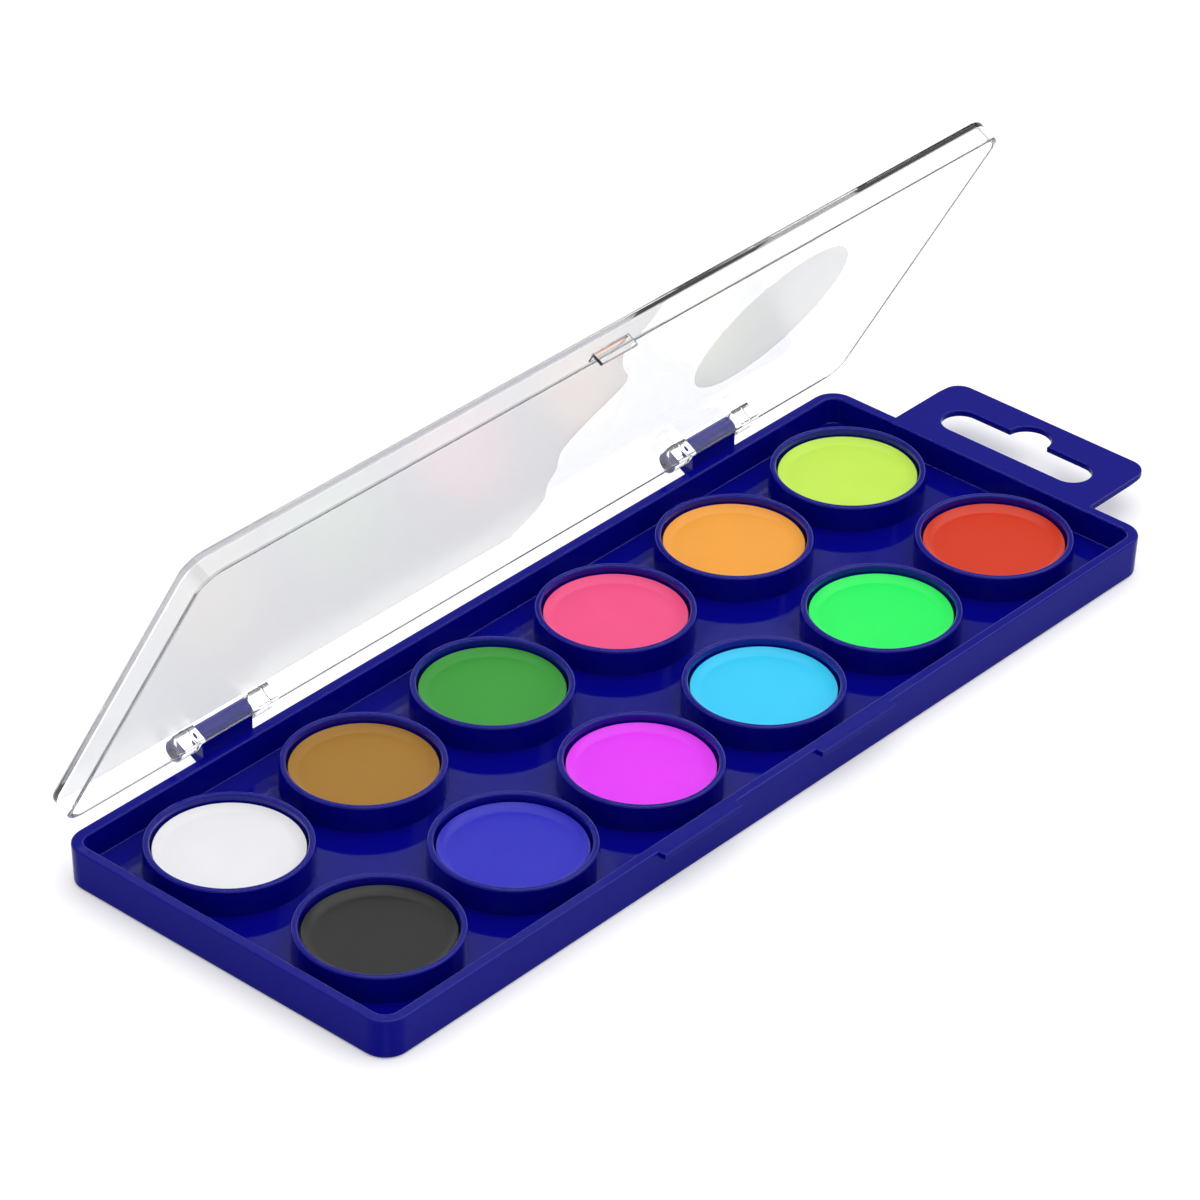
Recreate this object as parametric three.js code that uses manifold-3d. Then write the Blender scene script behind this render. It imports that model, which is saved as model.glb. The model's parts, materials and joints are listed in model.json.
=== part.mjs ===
// Watercolour paint box: a shallow moulded tray with twelve round wells, a paint cake in each well,
// and a clear lid on two hinges along the back. Millimetres, +Z up. X runs along the tray's long side
// towards the hang tab, Y towards the hinges. The origin is the centre of the tray's underside.
import * as THREE from 'three';
import { mergeVertices } from 'three/addons/utils/BufferGeometryUtils.js';
import Module from 'manifold-3d';

// Tray
const trayLength = 186.4;
const trayWidth = 69.3;
const trayHeight = 7.2;
const trayCorner = 4.3;
const trayWall = 2;
const outerDraft = 0.2;
const innerDraft = 0.25;
const footRound = 0.6;
const floorLevel = 2.4;
const floorThickness = 1.4;
const footWidth = 1.8;
const ribWidth = 1.6;

// Wells
const wellColumns = 6;
const wellRows = 2;
const wellEndMargin = 4.8;
const wellColumnGap = 3.2;
const wellRowInset = 0.8;
const wellWall = 1.1;
const wellDraft = 0.15;
const wellRimDrop = 0.15;

// Paint cakes
const cakeClearance = 0.35;
const cakeSeatGap = 0.1;
const cakeDrop = 1.2;
const cakeEdgeRound = 0.5;
const dishRimWidth = 0.6;
const dishSlope = 1.6;
const dishDepth = 0.5;

// Hang tab and its slot
const tabReach = 16.75;
const tabWidth = 42.2;
const tabThickness = 1.2;
const tabCorner = 3.3;
const tabOffset = -1.2;
const slotLength = 31;
const slotWidth = 7;
const slotStart = 3.15;
const hookRadius = 4;
const hookRise = 3.4;

// Lips on the front rim, one each side of the latch
const lipLength = 18.4;
const lipGap = 19.5;
const lipReach = 1.3;
const lipThickness = 1.1;
const lipOffset = -4.1;

// Hinges
const hingePlainInset = 36.8;
const hingeTabInset = 31.7;
const hingeRise = 2.4;
const barrelLength = 11.1;
const barrelRadius = 1.85;
const boreRadius = 0.9;
const gussetDrop = 3.2;
const gussetEdge = 0.6;
const pinClearance = 0.3;
const pinEngagement = 2.2;
const earWidth = 4.4;
const earRadius = 1.85;
const earSideGap = 0.5;
const earFloorGap = 0.4;

// Lid
const lidDepth = 4.45;
const lidWall = 1;
const lidPanel = 1;
const lidRearInset = 0.65;
const lidFrontInset = 1.2;
const lidEndOverhang = 0.4;
const lidRound = 0.8;
const lidSeatGap = 0.2;
const openAngle = THREE.MathUtils.degToRad(61.4);
const latchWidth = 8.4;
const latchOffset = -5.5;
const latchLedgeThickness = 0.7;
const latchDrop = 1.7;
const latchFlapThickness = 0.8;
const latchGap = 0.25;

// Shared
const overrun = 1;
const cornerSteps = 5;
const roundSteps = 3;
const arcSegments = 10;
const wellSegments = 32;
const pinSegments = 14;
const weldShare = 1e-6;

// Sizes that follow
const halfLength = trayLength / 2;
const halfWidth = trayWidth / 2;
const recessHeight = floorLevel - floorThickness;
const ribTop = floorLevel - floorThickness / 2;
const wellRoom = trayLength - wellEndMargin * 2 - wellColumnGap * (wellColumns - 1);
const wellRadius = wellRoom / wellColumns / 2;
const wellPitchX = wellRadius * 2 + wellColumnGap;
const wellPitchY = (trayWidth - trayWall * 2) / wellRows - wellRowInset;
const wellInner = wellRadius - wellWall;
const wellRim = trayHeight - wellRimDrop;
const cakeRadius = wellInner - cakeClearance;
const cakeBottom = floorLevel + cakeSeatGap;
const cakeTop = wellRim - cakeDrop;
const axisY = halfWidth + barrelRadius;
const axisZ = trayHeight + hingeRise;
const mouthZ = trayHeight + lidSeatGap;
const lidTop = mouthZ + lidDepth;
const lidRear = halfWidth - lidRearInset;
const lidFront = -halfWidth + lidFrontInset;
const hingePlaces = [hingePlainInset - halfLength, halfLength - hingeTabInset];

const wasm = await Module();
wasm.setup();

// A closed three.js geometry as a solid that can be joined and cut
function solid(geometry) {
  geometry.deleteAttribute('normal');
  geometry.deleteAttribute('uv');
  const merged = mergeVertices(geometry, trayLength * weldShare);
  return new wasm.Manifold(new wasm.Mesh({
    numProp: 3,
    vertProperties: Float32Array.from(merged.attributes.position.array),
    triVerts: Uint32Array.from(merged.index.array),
  }));
}

function geometryOf(body) {
  const mesh = body.getMesh();
  const geometry = new THREE.BufferGeometry();
  geometry.setAttribute('position', new THREE.BufferAttribute(mesh.vertProperties, 3));
  geometry.setIndex(new THREE.BufferAttribute(mesh.triVerts, 1));
  geometry.computeVertexNormals();
  return geometry;
}

function join(first, ...others) {
  return others.reduce((body, other) => body.add(other), first);
}

// The corner points of a rectangle with round corners, drawn in by inset, at height z
function roundedRing(box, inset, z) {
  const radius = box.corner - inset;
  const points = [];
  for (let corner = 0; corner < 4; corner += 1) {
    const sideX = corner === 0 || corner === 3 ? box.x1 - inset - radius : box.x0 + inset + radius;
    const sideY = corner < 2 ? box.y1 - inset - radius : box.y0 + inset + radius;
    for (let step = 0; step <= cornerSteps; step += 1) {
      const angle = (corner + step / cornerSteps) * Math.PI / 2;
      points.push([sideX + radius * Math.cos(angle), sideY + radius * Math.sin(angle), z]);
    }
  }
  return points;
}

// A solid through a stack of such rings; sections are [inset, z] from the lowest up
function tub(box, sections) {
  const rings = sections.map(([inset, z]) => roundedRing(box, inset, z));
  const count = rings[0].length;
  const index = [];
  for (let level = 0; level + 1 < rings.length; level += 1) {
    for (let k = 0; k < count; k += 1) {
      const a = level * count + k;
      const b = level * count + (k + 1) % count;
      index.push(a, b, b + count, a, b + count, a + count);
    }
  }
  const last = (rings.length - 1) * count;
  for (let k = 1; k + 1 < count; k += 1) {
    index.push(0, k + 1, k);
    index.push(last, last + k, last + k + 1);
  }
  const geometry = new THREE.BufferGeometry();
  geometry.setAttribute('position', new THREE.Float32BufferAttribute(rings.flat(2), 3));
  geometry.setIndex(index);
  return solid(geometry);
}

// Sections of an outer edge that rounds up out of a level underside at height z
function roundedFoot(radius, z) {
  return Array.from({ length: roundSteps + 1 }, (_, step) => {
    const angle = step / roundSteps * Math.PI / 2;
    return [radius * (1 - Math.sin(angle)), z + radius * (1 - Math.cos(angle))];
  });
}

// Sections of an outer edge that rounds over into a level top at height z
function roundedTop(radius, z) {
  return roundedFoot(radius, 0).reverse().map(([inset, rise]) => [inset, z - rise]);
}

function block(x0, x1, y0, y1, z0, z1) {
  const box = new THREE.BoxGeometry(x1 - x0, y1 - y0, z1 - z0);
  box.translate((x0 + x1) / 2, (y0 + y1) / 2, (z0 + z1) / 2);
  return solid(box);
}

function extruded(shape, depth) {
  return new THREE.ExtrudeGeometry(shape, { depth, bevelEnabled: false, curveSegments: arcSegments });
}

// A flat outline in X and Y, raised from z0 to z1
function plate(shape, z0, z1) {
  const geometry = extruded(shape, z1 - z0);
  geometry.translate(0, 0, z0);
  return solid(geometry);
}

// A flat outline in Y and Z, drawn out along X from x0 to x1
function profileAlongX(shape, x0, x1) {
  const geometry = extruded(shape, x1 - x0);
  const alongY = new THREE.Vector3(0, 1, 0);
  const alongZ = new THREE.Vector3(0, 0, 1);
  const alongX = new THREE.Vector3(1, 0, 0);
  geometry.applyMatrix4(new THREE.Matrix4().makeBasis(alongY, alongZ, alongX));
  geometry.translate(x0, 0, 0);
  return solid(geometry);
}

// A turned solid about an upright axis through x, y
function turned(points, x, y) {
  const profile = points.map(([radius, z]) => new THREE.Vector2(radius, z));
  const geometry = new THREE.LatheGeometry(profile, wellSegments);
  geometry.rotateX(Math.PI / 2);
  geometry.translate(x, y, 0);
  return solid(geometry);
}

function pinAlongX(radius, x0, x1) {
  const geometry = new THREE.CylinderGeometry(radius, radius, x1 - x0, pinSegments);
  geometry.rotateZ(Math.PI / 2);
  geometry.translate((x0 + x1) / 2, axisY, axisZ);
  return solid(geometry);
}

// Centres of the wells, row by row
function wellPlaces() {
  const places = [];
  for (let row = 0; row < wellRows; row += 1) {
    for (let column = 0; column < wellColumns; column += 1) {
      places.push([
        (column - (wellColumns - 1) / 2) * wellPitchX,
        (row - (wellRows - 1) / 2) * wellPitchY,
      ]);
    }
  }
  return places;
}

// Dish of the tray: outer wall on a recessed foot, floor and stiffening ribs underneath
function trayDish() {
  const box = { x0: -halfLength, x1: halfLength, y0: -halfWidth, y1: halfWidth, corner: trayCorner };
  const draftAt = (z) => outerDraft * (1 - z / trayHeight);
  const foot = roundedFoot(footRound, 0).map(([inset, z]) => [inset + draftAt(z), z]);
  const outer = tub(box, [...foot, [0, trayHeight]]);
  const hollow = tub(box, [
    [trayWall + innerDraft, floorLevel],
    [trayWall, trayHeight],
    [trayWall, trayHeight + overrun],
  ]);
  const footInset = outerDraft + footWidth;
  const recess = tub(box, [[footInset, -overrun], [footInset, recessHeight]]);
  const ribX = halfLength - footInset + overrun;
  const ribY = halfWidth - footInset + overrun;
  const ribs = [block(-ribX, ribX, -ribWidth / 2, ribWidth / 2, 0, ribTop)];
  for (let column = 1; column < wellColumns; column += 1) {
    const x = (column - wellColumns / 2) * wellPitchX;
    ribs.push(block(x - ribWidth / 2, x + ribWidth / 2, -ribY, ribY, 0, ribTop));
  }
  const shell = outer.subtract(hollow).subtract(recess);
  return join(shell, ...ribs.map((rib) => rib.intersect(outer)));
}

function wellRing(x, y) {
  const crown = wellWall / 3;
  return turned([
    [wellInner, ribTop],
    [wellRadius + wellDraft, ribTop],
    [wellRadius + wellDraft, floorLevel],
    [wellRadius, wellRim - crown],
    [wellRadius - crown, wellRim],
    [wellInner + crown, wellRim],
    [wellInner, wellRim - crown],
    [wellInner, ribTop],
  ], x, y);
}

// Hang tab: a thin plate flush with the rim, with a round-ended slot and a round hook notch
function hangTab() {
  const x0 = halfLength - trayWall / 2;
  const x1 = halfLength + tabReach;
  const y0 = tabOffset - tabWidth / 2;
  const y1 = tabOffset + tabWidth / 2;
  const outline = new THREE.Shape();
  outline.moveTo(x0, y0);
  outline.lineTo(x1 - tabCorner, y0);
  outline.absarc(x1 - tabCorner, y0 + tabCorner, tabCorner, -Math.PI / 2, 0, false);
  outline.lineTo(x1, y1 - tabCorner);
  outline.absarc(x1 - tabCorner, y1 - tabCorner, tabCorner, 0, Math.PI / 2, false);
  outline.lineTo(x0, y1);
  outline.closePath();
  const low = trayHeight - tabThickness;
  const tab = plate(outline, low, trayHeight);

  const slotRadius = slotWidth / 2;
  const slotX = halfLength + slotStart + slotRadius;
  const slotEnd = slotLength / 2 - slotRadius;
  const slot = new THREE.Shape();
  slot.absarc(slotX, tabOffset + slotEnd, slotRadius, 0, Math.PI, false);
  slot.absarc(slotX, tabOffset - slotEnd, slotRadius, Math.PI, Math.PI * 2, false);
  slot.closePath();
  const notch = new THREE.CylinderGeometry(hookRadius, hookRadius, tabThickness + overrun * 2, wellSegments);
  notch.rotateX(Math.PI / 2);
  notch.translate(slotX + hookRise, tabOffset, trayHeight - tabThickness / 2);
  return tab.subtract(plate(slot, low - overrun, trayHeight + overrun)).subtract(solid(notch));
}

function frontLips() {
  const inner = -halfWidth + trayWall / 2;
  const outer = -halfWidth - lipReach;
  const low = trayHeight - lipThickness;
  return [-1, 1].map((side) => {
    const near = lipOffset + side * lipGap / 2;
    const far = near + side * lipLength;
    return block(Math.min(near, far), Math.max(near, far), outer, inner, low, trayHeight);
  });
}

// Hinge bracket behind the back wall: a sloped gusset, a web and a bored barrel above the rim
function hingeBracket(x) {
  const inside = halfWidth - trayWall / 2;
  const low = trayHeight - gussetDrop;
  const shape = new THREE.Shape();
  shape.moveTo(inside, low);
  shape.lineTo(halfWidth, low);
  shape.lineTo(axisY + barrelRadius, trayHeight - gussetEdge);
  shape.lineTo(axisY + barrelRadius, axisZ);
  shape.absarc(axisY, axisZ, barrelRadius, 0, Math.PI, false);
  shape.lineTo(halfWidth, trayHeight);
  shape.lineTo(inside, trayHeight);
  shape.closePath();
  const bracket = profileAlongX(shape, x - barrelLength / 2, x + barrelLength / 2);
  const reach = barrelLength / 2 + overrun;
  return bracket.subtract(pinAlongX(boreRadius, x - reach, x + reach));
}

function tray() {
  const rings = wellPlaces().map(([x, y]) => wellRing(x, y));
  return join(trayDish(), ...rings, hangTab(), ...frontLips(), ...hingePlaces.map(hingeBracket));
}

// Paint cake: a pressed disc with a raised rim round a shallow dish
function paintCake(x, y) {
  const dishOuter = cakeRadius - dishRimWidth;
  return turned([
    [0, cakeBottom],
    [cakeRadius, cakeBottom],
    [cakeRadius, cakeTop - cakeEdgeRound],
    [cakeRadius - cakeEdgeRound, cakeTop],
    [dishOuter, cakeTop],
    [dishOuter - dishSlope, cakeTop - dishDepth],
    [0, cakeTop - dishDepth],
  ], x, y);
}

// One ear of the lid's hinge, with its stub pin pointing to the bracket on the side given
function hingeEar(x, side) {
  const inside = lidRear - lidWall / 2;
  const shape = new THREE.Shape();
  shape.moveTo(inside, mouthZ + earFloorGap);
  shape.lineTo(axisY, axisZ - earRadius);
  shape.absarc(axisY, axisZ, earRadius, -Math.PI / 2, Math.PI / 2, false);
  shape.lineTo(inside, axisZ + earRadius);
  shape.closePath();
  const near = x + side * (barrelLength / 2 + earSideGap);
  const far = near + side * earWidth;
  const tip = near - side * (earSideGap + pinEngagement);
  const root = near + side * earWidth / 2;
  const ear = profileAlongX(shape, Math.min(near, far), Math.max(near, far));
  return ear.add(pinAlongX(boreRadius - pinClearance, Math.min(tip, root), Math.max(tip, root)));
}

// Latch on the lid's front skirt: a ledge over the rim and a flap down its outside
function latch() {
  const x0 = latchOffset - latchWidth / 2;
  const x1 = latchOffset + latchWidth / 2;
  const flapInner = -halfWidth - latchGap;
  const flapOuter = flapInner - latchFlapThickness;
  const ledge = block(x0, x1, flapOuter, lidFront + lidWall / 2, mouthZ, mouthZ + latchLedgeThickness);
  const flap = block(x0, x1, flapOuter, flapInner, mouthZ - latchDrop, mouthZ + latchLedgeThickness);
  return ledge.add(flap);
}

// The lid as it lies when closed: a clear panel with a skirt all round
function lid() {
  const end = halfLength + lidEndOverhang;
  const box = { x0: -end, x1: end, y0: lidFront, y1: lidRear, corner: trayCorner };
  const outer = tub(box, [[0, mouthZ], ...roundedTop(lidRound, lidTop)]);
  const hollow = tub(box, [[lidWall, mouthZ - overrun], [lidWall, lidTop - lidPanel]]);
  const ears = hingePlaces.flatMap((x) => [hingeEar(x, -1), hingeEar(x, 1)]);
  return join(outer.subtract(hollow), latch(), ...ears);
}

function meshOf(name, geometry, material) {
  const mesh = new THREE.Mesh(geometry, material);
  mesh.name = name;
  return mesh;
}

function plastic(color, roughness) {
  return new THREE.MeshStandardMaterial({ color, roughness, metalness: 0 });
}

// Front row, then back row, each from the end away from the hang tab
const paints = [
  ['black_cake', 0x1c1c1b],
  ['ultramarine_cake', 0x2b2a86],
  ['magenta_cake', 0xc83cd8],
  ['cyan_cake', 0x3cb4e6],
  ['bright_green_cake', 0x3ce65f],
  ['red_cake', 0xcf3c1e],
  ['white_cake', 0xeeeef0],
  ['ochre_cake', 0xa67e3f],
  ['green_cake', 0x3f9a44],
  ['pink_cake', 0xf05c86],
  ['orange_cake', 0xf2994a],
  ['lime_cake', 0xc3e858],
];

const paintBox = new THREE.Group();
paintBox.add(meshOf('tray', geometryOf(tray()), plastic(0x1a1a8c, 0.25)));
wellPlaces().forEach(([x, y], place) => {
  const [name, color] = paints[place];
  paintBox.add(meshOf(name, geometryOf(paintCake(x, y)), plastic(color, 0.35)));
});

// The lid turns about the hinge axis and stands part open
const lidGeometry = geometryOf(lid());
lidGeometry.translate(0, -axisY, -axisZ);
const clear = new THREE.MeshStandardMaterial({
  color: 0xf2f4f6,
  roughness: 0.08,
  metalness: 0,
  transparent: true,
  opacity: 0.25,
});
const lidPivot = new THREE.Group();
lidPivot.position.set(0, axisY, axisZ);
lidPivot.rotation.x = -openAngle;
lidPivot.add(meshOf('lid', lidGeometry, clear));
paintBox.add(lidPivot);

export default paintBox;
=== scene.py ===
"""Watercolour paint box: a moulded tray with twelve wells, a paint cake in each, and a clear
hinged lid.

Everything is in metres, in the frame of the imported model: +X runs along the tray towards its
hang tab, +Y from the latch side towards the hinges, +Z up, with the origin at the centre of the
tray's underside.
"""
import json
import math

import bpy
from bpy.props import FloatProperty, FloatVectorProperty, PointerProperty
from bpy.types import Operator, Panel, PropertyGroup
from mathutils import Matrix, Vector


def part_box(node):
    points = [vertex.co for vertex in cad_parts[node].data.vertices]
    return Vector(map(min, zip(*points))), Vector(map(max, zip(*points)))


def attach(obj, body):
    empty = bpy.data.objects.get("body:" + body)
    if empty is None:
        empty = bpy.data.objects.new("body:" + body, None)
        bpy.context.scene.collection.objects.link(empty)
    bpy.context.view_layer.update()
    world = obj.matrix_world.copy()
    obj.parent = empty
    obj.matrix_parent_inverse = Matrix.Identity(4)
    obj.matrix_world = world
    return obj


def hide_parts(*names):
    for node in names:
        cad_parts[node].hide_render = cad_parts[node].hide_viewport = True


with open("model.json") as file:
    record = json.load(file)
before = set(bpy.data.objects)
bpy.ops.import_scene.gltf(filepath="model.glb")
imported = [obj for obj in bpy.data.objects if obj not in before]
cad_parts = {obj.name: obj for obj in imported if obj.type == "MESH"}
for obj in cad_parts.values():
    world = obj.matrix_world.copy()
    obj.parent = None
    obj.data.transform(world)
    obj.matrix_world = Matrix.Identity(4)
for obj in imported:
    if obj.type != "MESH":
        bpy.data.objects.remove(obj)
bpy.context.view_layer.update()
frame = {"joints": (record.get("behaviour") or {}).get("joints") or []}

bl_info = {
    "name": "Watercolour paint box",
    "version": (1, 0, 0),
    "blender": (4, 5, 0),
    "location": "View3D > Sidebar > Paint Box",
    "description": "Models a watercolour paint box with a clear hinged lid",
    "category": "Add Mesh",
}

GROUP_PREFIX = "paint_box_"
MM = 0.001
# Less than any real size, to tell places apart and to let pieces overlap
HAIR = 0.01 * MM
SHARP_ANGLE = math.radians(25)
SMOOTH_ANGLE = math.radians(32)
# Upright share of the normal of a face that counts as level
LEVEL = 0.9
# Width of the camera's sensor in millimetres
SENSOR_WIDTH = 36.0

# Sides of round pieces
CUP_SIDES = 72
HOOK_SIDES = 64
BORE_SIDES = 24
PIN_SIDES = 20

# Steps of rounded edges
CAKE_RIM_STEPS = 2
SMALL_STEPS = 3
EDGE_STEPS = 4
RIM_STEPS = 5
PANEL_STEPS = 6
TAB_STEPS = 8
DISH_STEPS = 10
CORNER_STEPS = 10
SLOT_STEPS = 12
BARREL_STEPS = 14

# Clear plastic and its print: the width of its edge, how much its cover varies,
# and how far a noise strays from its middle
CLEAR_IOR = 1.49
PRINT_EDGE = 0.25 * MM
PRINT_CLOUD = 0.06
NOISE_REACH = 0.25

# Sines of the angles between which the sky and the backdrop change
HORIZON_RISE = 0.2
ZENITH_RISE = 0.8
BACKDROP_RISE = 0.15

FLOOR_DROP = 2 * HAIR
WHITE = (1.0, 1.0, 1.0)

# The front row, then the back row, each from the plain end towards the hang tab
CAKES = (
    "black_cake", "ultramarine_cake", "magenta_cake", "cyan_cake", "bright_green_cake", "red_cake",
    "white_cake", "ochre_cake", "green_cake", "pink_cake", "orange_cake", "lime_cake",
)
TRAY_BODY = "tray_body"
LID_BODY = "lid_body"

TRAY_LOW, TRAY_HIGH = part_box("tray")
CAKE_LOW, CAKE_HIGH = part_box(CAKES[0])
CAKE_RADIUS = (CAKE_HIGH.x - CAKE_LOW.x) / 2
LID_HINGE = next(joint for joint in frame["joints"] if joint["name"] == "lid_hinge")
HINGE = Vector(LID_HINGE["pos_m"])
OPEN_ANGLE = math.radians(LID_HINGE["range_deg"][1])


def length(name, description, millimetres):
    """A size that a user can change, given here in millimetres."""
    return FloatProperty(
        name=name, description=description, default=millimetres * MM, unit="LENGTH", precision=5
    )


def colour(name, description, rgb):
    """A surface colour that a user can change."""
    return FloatVectorProperty(
        name=name, description=description, default=rgb, subtype="COLOR", size=3, min=0.0, max=1.0
    )


class TraySizes(PropertyGroup):
    """Sizes and colour of the moulded tray."""

    rim: length("Rim height", "Height of the tray's rim", 7.2)
    corner: length("Corner radius", "Radius of the tray's upright corners", 4.3)
    wall: length("Wall", "Thickness of the tray's wall at the rim", 2.0)
    outer_draft: length("Outer draft", "How far the wall leans in from rim to foot", 0.2)
    inner_draft: length("Inner draft", "How far the inside narrows from rim to floor", 0.25)
    floor: length("Floor height", "Height of the floor between the wells", 2.4)
    floor_plate: length("Floor thickness", "Thickness of the floor plate", 1.4)
    foot_round: length("Foot rounding", "Radius of the lower outer edge", 0.6)
    foot_width: length("Foot width", "Width of the ring that the tray stands on", 1.8)
    rib_width: length("Rib width", "Width of the ribs under the floor", 1.6)
    rim_round: length("Rim rounding", "Radius of the rim's edges", 0.35)
    floor_round: length("Floor rounding", "Radius between the wall and the floor", 0.25)
    lip_length: length("Lip length", "Length of each lip on the front rim", 18.4)
    lip_gap: length("Lip gap", "Room between the two lips", 19.5)
    lip_offset: length("Lip offset", "How far the lips' middle lies towards the plain end", 4.1)
    lip_reach: length("Lip reach", "How far the lips stand out from the wall", 1.3)
    lip_thickness: length("Lip thickness", "Thickness of the lips", 1.1)
    plastic: colour("Plastic", "Colour of the moulded plastic", (0.0015, 0.0015, 0.23))
    polish: FloatProperty(
        name="Polish", description="Gloss on all but the outer walls", default=0.8
    )


class WellSizes(PropertyGroup):
    """Sizes of the round wells."""

    clearance: length("Cake clearance", "Gap between a cake and its well", 0.35)
    wall: length("Well wall", "Thickness of a well's ring", 1.1)
    draft: length("Well draft", "How much wider a well is at its foot", 0.15)
    rim_drop: length("Rim drop", "How far a well's rim lies below the tray's rim", 0.15)
    rim_round: length("Well rim rounding", "Radius of the edges of a well's rim", 0.42)


class TabSizes(PropertyGroup):
    """Sizes of the hang tab."""

    width: length("Tab width", "Width of the hang tab", 42.2)
    thickness: length("Tab thickness", "Thickness of the hang tab", 1.2)
    corner: length("Tab corner", "Radius of the tab's corners", 3.3)
    offset: length("Tab offset", "How far the tab's middle lies in front of the tray's", 1.2)
    edge_round: length("Tab edge rounding", "Radius of the tab's edges", 0.25)
    slot_length: length("Slot length", "Length of the hang slot", 31.0)
    slot_width: length("Slot width", "Width of the hang slot", 7.0)
    slot_start: length("Slot start", "From the tray's end to the slot", 3.15)
    hook_radius: length("Hook radius", "Radius of the round notch in the slot", 4.0)
    hook_rise: length("Hook rise", "From the slot's middle to the notch's centre", 3.4)


class HingeSizes(PropertyGroup):
    """Sizes of the two hinges."""

    barrel_length: length("Barrel length", "Length of a hinge barrel", 11.1)
    barrel_radius: length("Barrel radius", "Radius of a hinge barrel", 1.85)
    bore_radius: length("Bore radius", "Radius of the hole in a barrel", 0.9)
    pin_radius: length("Pin radius", "Radius of a stub pin", 0.6)
    pin_engagement: length("Pin engagement", "How far a stub pin reaches into its barrel", 2.2)
    gusset_drop: length("Gusset drop", "How far the bracket reaches down the back wall", 3.2)
    gusset_edge: length("Gusset edge", "Thickness of the bracket's foot at its outer edge", 0.6)
    plain_inset: length("Plain end inset", "From the plain end to the first hinge", 36.8)
    tab_inset: length("Tab end inset", "From the tab end to the second hinge", 31.7)
    ear_width: length("Ear width", "Width of an ear of the lid", 4.4)
    ear_radius: length("Ear radius", "Radius of an ear of the lid", 1.85)
    ear_gap: length("Ear gap", "Gap between an ear and its barrel", 0.5)
    ear_round: length("Ear rounding", "Radius of an ear's outer edges", 0.25)


class CakeLooks(PropertyGroup):
    """Shape and colours of the paint cakes."""

    top_drop: length("Top drop", "How far a cake's rim lies below its greatest height", 0.15)
    rim_width: length("Cake rim", "Width of the raised rim of a cake", 0.12)
    dish_slope: length("Dish slope", "Width of the slope into the dish", 0.75)
    dish_depth: length("Dish depth", "Depth of the dish", 0.75)
    dish_round: length("Dish rounding", "How far the hollow edge of the dish is rounded", 1.04)
    black: colour("Black", "Colour of the black cake", (0.018, 0.018, 0.018))
    ultramarine: colour("Ultramarine", "Colour of the ultramarine cake", (0.018, 0.017, 0.54))
    magenta: colour("Magenta", "Colour of the magenta cake", (0.84, 0.032, 0.97))
    cyan: colour("Cyan", "Colour of the cyan cake", (0.024, 0.63, 0.97))
    bright_green: colour("Bright green", "Colour of the bright green cake", (0.012, 0.97, 0.124))
    red: colour("Red", "Colour of the red cake", (0.70, 0.035, 0.003))
    white: colour("White", "Colour of the white cake", (0.89, 0.885, 0.91))
    ochre: colour("Ochre", "Colour of the ochre cake", (0.38, 0.18, 0.014))
    green: colour("Green", "Colour of the green cake", (0.034, 0.33, 0.030))
    pink: colour("Pink", "Colour of the pink cake", (0.97, 0.084, 0.255))
    orange: colour("Orange", "Colour of the orange cake", (0.97, 0.39, 0.042))
    lime: colour("Lime", "Colour of the lime cake", (0.60, 0.90, 0.088))


class LidLooks(PropertyGroup):
    """Sizes and look of the clear lid and of the print inside it."""

    depth: length("Lid depth", "Outer height of the lid's skirt and panel", 4.45)
    wall: length("Lid wall", "Thickness of the lid's skirt", 1.0)
    panel: length("Lid panel", "Thickness of the lid's panel", 1.0)
    seat_gap: length("Seat gap", "Gap between the closed lid and the rim", 0.2)
    rear_inset: length("Rear inset", "From the back wall to the lid's rear", 0.65)
    front_inset: length("Front inset", "From the front wall to the lid's front", 1.2)
    overhang: length("End overhang", "How far the lid reaches past each end of the tray", 0.4)
    edge_round: length("Edge rounding", "Radius of the panel's outer edge", 0.8)
    inner_round: length("Inner rounding", "Radius between the panel and the skirt", 0.4)
    mouth_round: length("Mouth rounding", "Radius of the skirt's lower edges", 0.35)
    latch_width: length("Latch width", "Width of the latch", 8.4)
    latch_offset: length("Latch offset", "How far the latch lies towards the plain end", 5.5)
    latch_ledge: length("Latch ledge", "Thickness of the latch's ledge", 0.7)
    latch_flap: length("Latch flap", "Thickness of the latch's flap", 0.8)
    latch_drop: length("Latch drop", "How far the flap reaches below the skirt", 1.7)
    latch_gap: length("Latch gap", "Gap between the flap and the tray's wall", 0.25)
    latch_round: length("Latch rounding", "Radius of the latch's edges", 0.2)
    ink_cover: FloatProperty(name="Ink cover", description="How much the print hides", default=0.52)
    ink_haze: FloatProperty(name="Ink haze", description="How much the print blurs", default=0.22)
    wash_edge: length("Wash edge", "Where the print's wide wash ends, from the tray's middle", 12.0)
    wash_wave: length("Wash wave", "How far the edge of the wash waves", 5.0)
    disc_place: length("Disc place", "From the tray's middle to the print's disc", 58.0)
    disc_radius: length("Disc radius", "Radius of the print's disc", 17.0)
    plastic: colour("Clear plastic", "Tint of the clear plastic", (0.965, 0.97, 0.975))
    # Grey painted along the mouth of the lid: a painted dark reflection of its edges, not a real
    # rubbed edge
    rubbed: colour("Painted edge shade", "Colour of the plastic along the mouth", (0.48, 0.48, 0.50))
    ink: colour("Print", "Colour of the translucent print", (0.76, 0.76, 0.78))


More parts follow.
